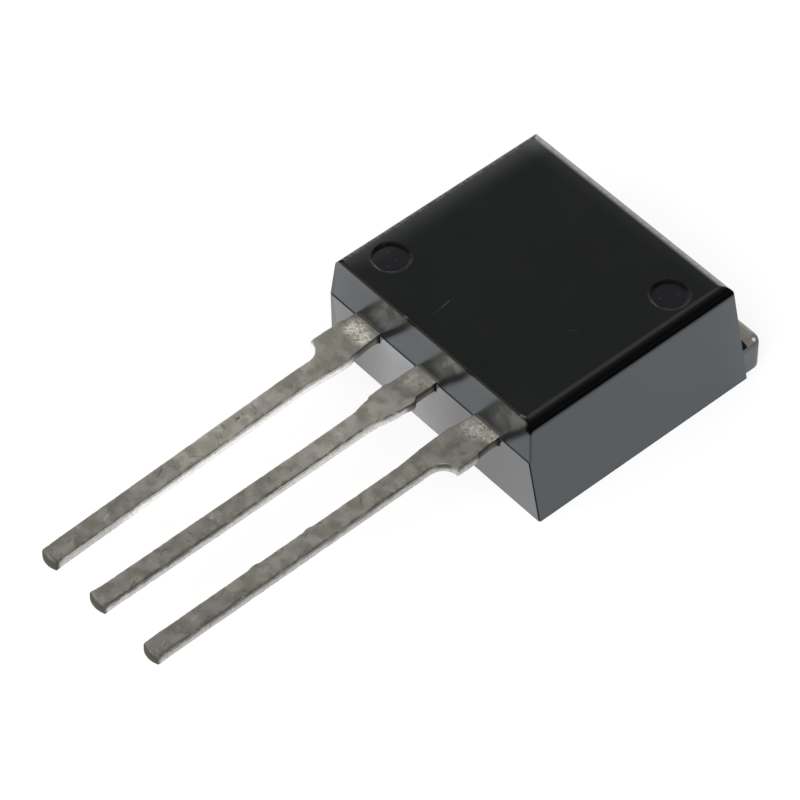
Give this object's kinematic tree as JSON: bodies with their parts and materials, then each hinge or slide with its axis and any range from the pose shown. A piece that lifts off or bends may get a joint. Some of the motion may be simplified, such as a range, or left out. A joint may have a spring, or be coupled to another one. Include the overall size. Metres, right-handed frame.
{
  "type": "power mosfet",
  "caption": "Power transistor in a black moulded package with an exposed copper heat-sink tab at one end and flat straight leads at the other.",
  "frame": {"origin": "on the underside, in the exposed face of the copper heat spreader, midway between the moulding's sides and midway along its length", "axes": "+Z out of the marking side, away from the heat-sink face; the leads run along -Y and the tab stands out along +Y; X runs across the leads, from the gate lead to the source lead"},
  "size_m": [0.01, 0.0232, 0.0044],
  "materials": {
    "epoxy": "polished black moulding compound",
    "tinned_copper": "satin matt-tin plating on copper",
    "solder": "dull solder",
    "silicon": "polished silicon with an aluminium top",
    "bond_wire": "bright drawn wire"
  },
  "bodies": {
    "root": {"moulded_body": "epoxy", "heat_spreader": "tinned_copper", "gate_lead": "tinned_copper", "source_lead": "tinned_copper", "die_attach": "solder", "silicon_die": "silicon", "gate_wire": "bond_wire", "source_wire_inner": "bond_wire", "source_wire_outer": "bond_wire"}
  },
  "joints": []
}
